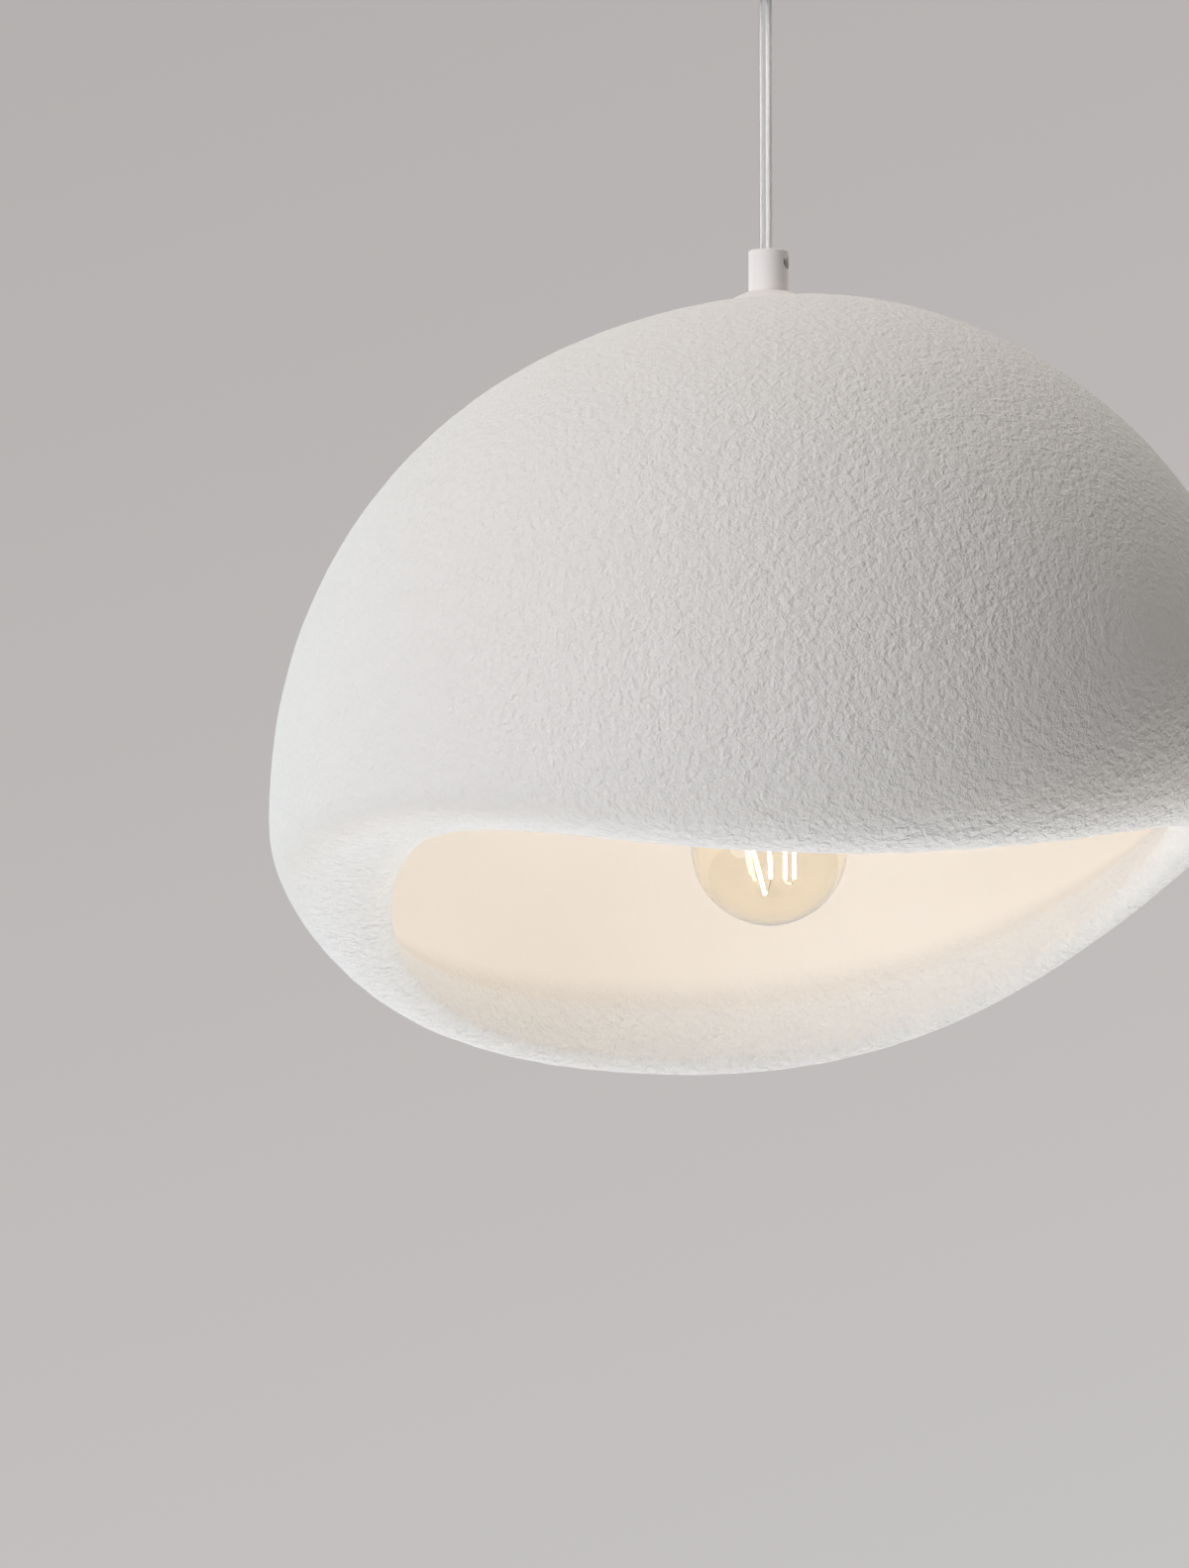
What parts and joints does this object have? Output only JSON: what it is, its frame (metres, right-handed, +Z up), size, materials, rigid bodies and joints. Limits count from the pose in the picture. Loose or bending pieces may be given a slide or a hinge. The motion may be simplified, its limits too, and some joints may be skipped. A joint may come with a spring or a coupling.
{
  "type": "pendant ceiling light",
  "caption": "Pendant ceiling light with a thick, rough white pebble-shaped shade open below, a globe lamp inside, and a clear cord hanging from a round ceiling canopy.",
  "frame": {"origin": "centre of the ceiling face, on the bracket's top where the cord's axis meets the ceiling", "axes": "+Z up and out of the ceiling face, -Y towards the raised side of the shade's mouth, +X to the side on which the shade stands higher"},
  "size_m": [0.51, 0.488, 0.5979],
  "materials": {
    "zinc_steel": "satin",
    "white_metal": "satin",
    "screw_steel": "satin",
    "white_plastic": "satin",
    "brass": "satin",
    "wire_white": "satin",
    "ball_nylon": "satin",
    "clear_sheath": "gloss",
    "plaster": "matte",
    "rubber": "matte",
    "ceramic": "satin",
    "lamp_brass": "polished",
    "lamp_black": "gloss",
    "tip_solder": "satin",
    "amber_glass": "gloss",
    "clear_glass": "gloss",
    "fine_wire": "satin",
    "filament": "satin"
  },
  "bodies": {
    "ceiling_part": {"ceiling_bracket": "zinc_steel", "canopy_cup": "white_metal", "canopy_screws": "screw_steel", "terminal_block": "white_plastic", "terminal_screws": "brass", "canopy_wires": "wire_white", "canopy_grip": "white_metal", "grip_lock_nut": "zinc_steel", "grip_mouth": "white_metal"},
    "ball": {"cord_ball": "ball_nylon"},
    "cord": {"pendant_cord": "clear_sheath"},
    "pendant": {"cord_collar": "white_metal", "collar_screw": "screw_steel", "cap_plate": "white_metal", "shade": "plaster", "rubber_washer": "rubber", "inner_washer": "zinc_steel", "rod_nuts": "zinc_steel", "threaded_rod": "zinc_steel", "rod_wires": "wire_white", "holder_cap": "white_plastic", "holder_body": "white_plastic", "holder_insert": "ceramic", "holder_shell": "brass", "holder_contacts": "brass"},
    "lamp_contact": {"lamp_tip": "tip_solder"},
    "lamp": {"lamp_insulator": "lamp_black", "lamp_screw_cap": "lamp_brass", "lamp_globe": "amber_glass", "lamp_stem": "clear_glass", "lamp_supports": "fine_wire", "lamp_filaments": "filament"}
  },
  "joints": [
    {"name": "swing_front_back", "type": "hinge", "parent": "ceiling_part", "child": "ball", "pos_m": [0, 0, -0.038], "axis": [1, 0, 0], "range_deg": [-15, 15]},
    {"name": "swing_sideways", "type": "hinge", "parent": "ball", "child": "cord", "pos_m": [0, 0, -0.038], "axis": [0, 1, 0], "range_deg": [-15, 15]},
    {"name": "cord_twist", "type": "hinge", "parent": "cord", "child": "pendant", "pos_m": [0, 0, -0.188], "axis": [0, 0, 1], "range_deg": [-180, 180], "stiffness_Nm_per_rad": 0.05},
    {"name": "lamp_drop", "type": "slide", "parent": "pendant", "child": "lamp_contact", "axis": [0, 0, -1], "range_m": [0, 0.01089]},
    {"name": "lamp_unscrew", "type": "hinge", "parent": "lamp_contact", "child": "lamp", "pos_m": [0.0014, -0.00054, -0.488], "axis": [0, 0, -1], "range_deg": [0, 1080.1]}
  ],
  "couplings": [
    {"joint": "lamp_unscrew", "follows": "lamp_drop", "rad_per_m": 1731.4}
  ]
}
